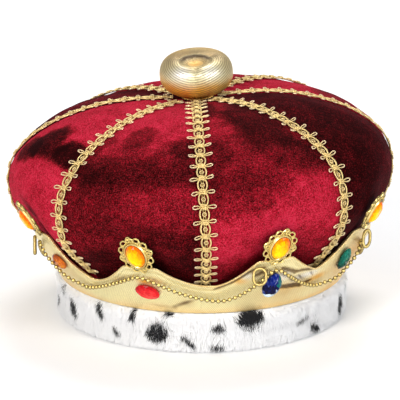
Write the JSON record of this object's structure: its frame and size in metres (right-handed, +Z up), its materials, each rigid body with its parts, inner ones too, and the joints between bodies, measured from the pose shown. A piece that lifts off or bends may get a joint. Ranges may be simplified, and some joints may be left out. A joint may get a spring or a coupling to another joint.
{
  "type": "jewelled crown",
  "caption": "Jewelled costume crown: puffed crimson velvet cap with gold braid on its seams, scalloped gold band with filigree stones and ball chain, and a fur trim.",
  "frame": {"origin": "centre of the underside of the fur trim, on the axis of the head opening", "axes": "+Z up, -Y to the front of the crown, +X to the wearer's left, which is on the right when the crown is seen from the front"},
  "size_m": [0.2831, 0.2826, 0.1928],
  "materials": {
    "velvet": "crushed velvet, crimson with dark nap",
    "ermine": "short white pile with black flecks",
    "gold_lame": "padded gold lame cloth",
    "gimp": "looped metallic gimp braid",
    "gilt": "bright gilt plastic filigree",
    "gilt_chain": "gilt",
    "amber_stone": "faceted, foil backed",
    "red_stone": "faceted, foil backed",
    "blue_stone": "faceted, foil backed",
    "green_stone": "faceted, foil backed",
    "orange_stone": "faceted, foil backed"
  },
  "bodies": {
    "root": {"fur_trim": "ermine", "band": "gold_lame", "gore_1": "velvet", "gore_2": "velvet", "gore_3": "velvet", "gore_4": "velvet", "gore_5": "velvet", "gore_6": "velvet", "gore_7": "velvet", "gore_8": "velvet", "braid_1": "gimp", "braid_2": "gimp", "braid_3": "gimp", "braid_4": "gimp", "braid_5": "gimp", "braid_6": "gimp", "braid_7": "gimp", "braid_8": "gimp", "top_button": "gold_lame", "setting_1": "gilt", "setting_2": "gilt", "setting_3": "gilt", "setting_4": "gilt", "setting_5": "gilt", "setting_6": "gilt", "setting_7": "gilt", "setting_8": "gilt", "amber_1": "amber_stone", "amber_2": "amber_stone", "amber_3": "amber_stone", "amber_4": "amber_stone", "amber_5": "amber_stone", "amber_6": "amber_stone", "amber_7": "amber_stone", "amber_8": "amber_stone", "red_oval_1": "red_stone", "red_oval_2": "red_stone", "blue_pear_1": "blue_stone", "blue_pear_2": "blue_stone", "green_oval_1": "green_stone", "green_oval_2": "green_stone", "orange_oval_1": "orange_stone", "orange_oval_2": "orange_stone", "bead_chain": "gilt_chain", "chain_thread": "gilt_chain", "hanging_ring_1": "gilt_chain", "hanging_ring_2": "gilt_chain", "hanging_ring_3": "gilt_chain", "hanging_ring_4": "gilt_chain", "hanging_ring_5": "gilt_chain", "hanging_ring_6": "gilt_chain", "hanging_ring_7": "gilt_chain"}
  },
  "joints": []
}
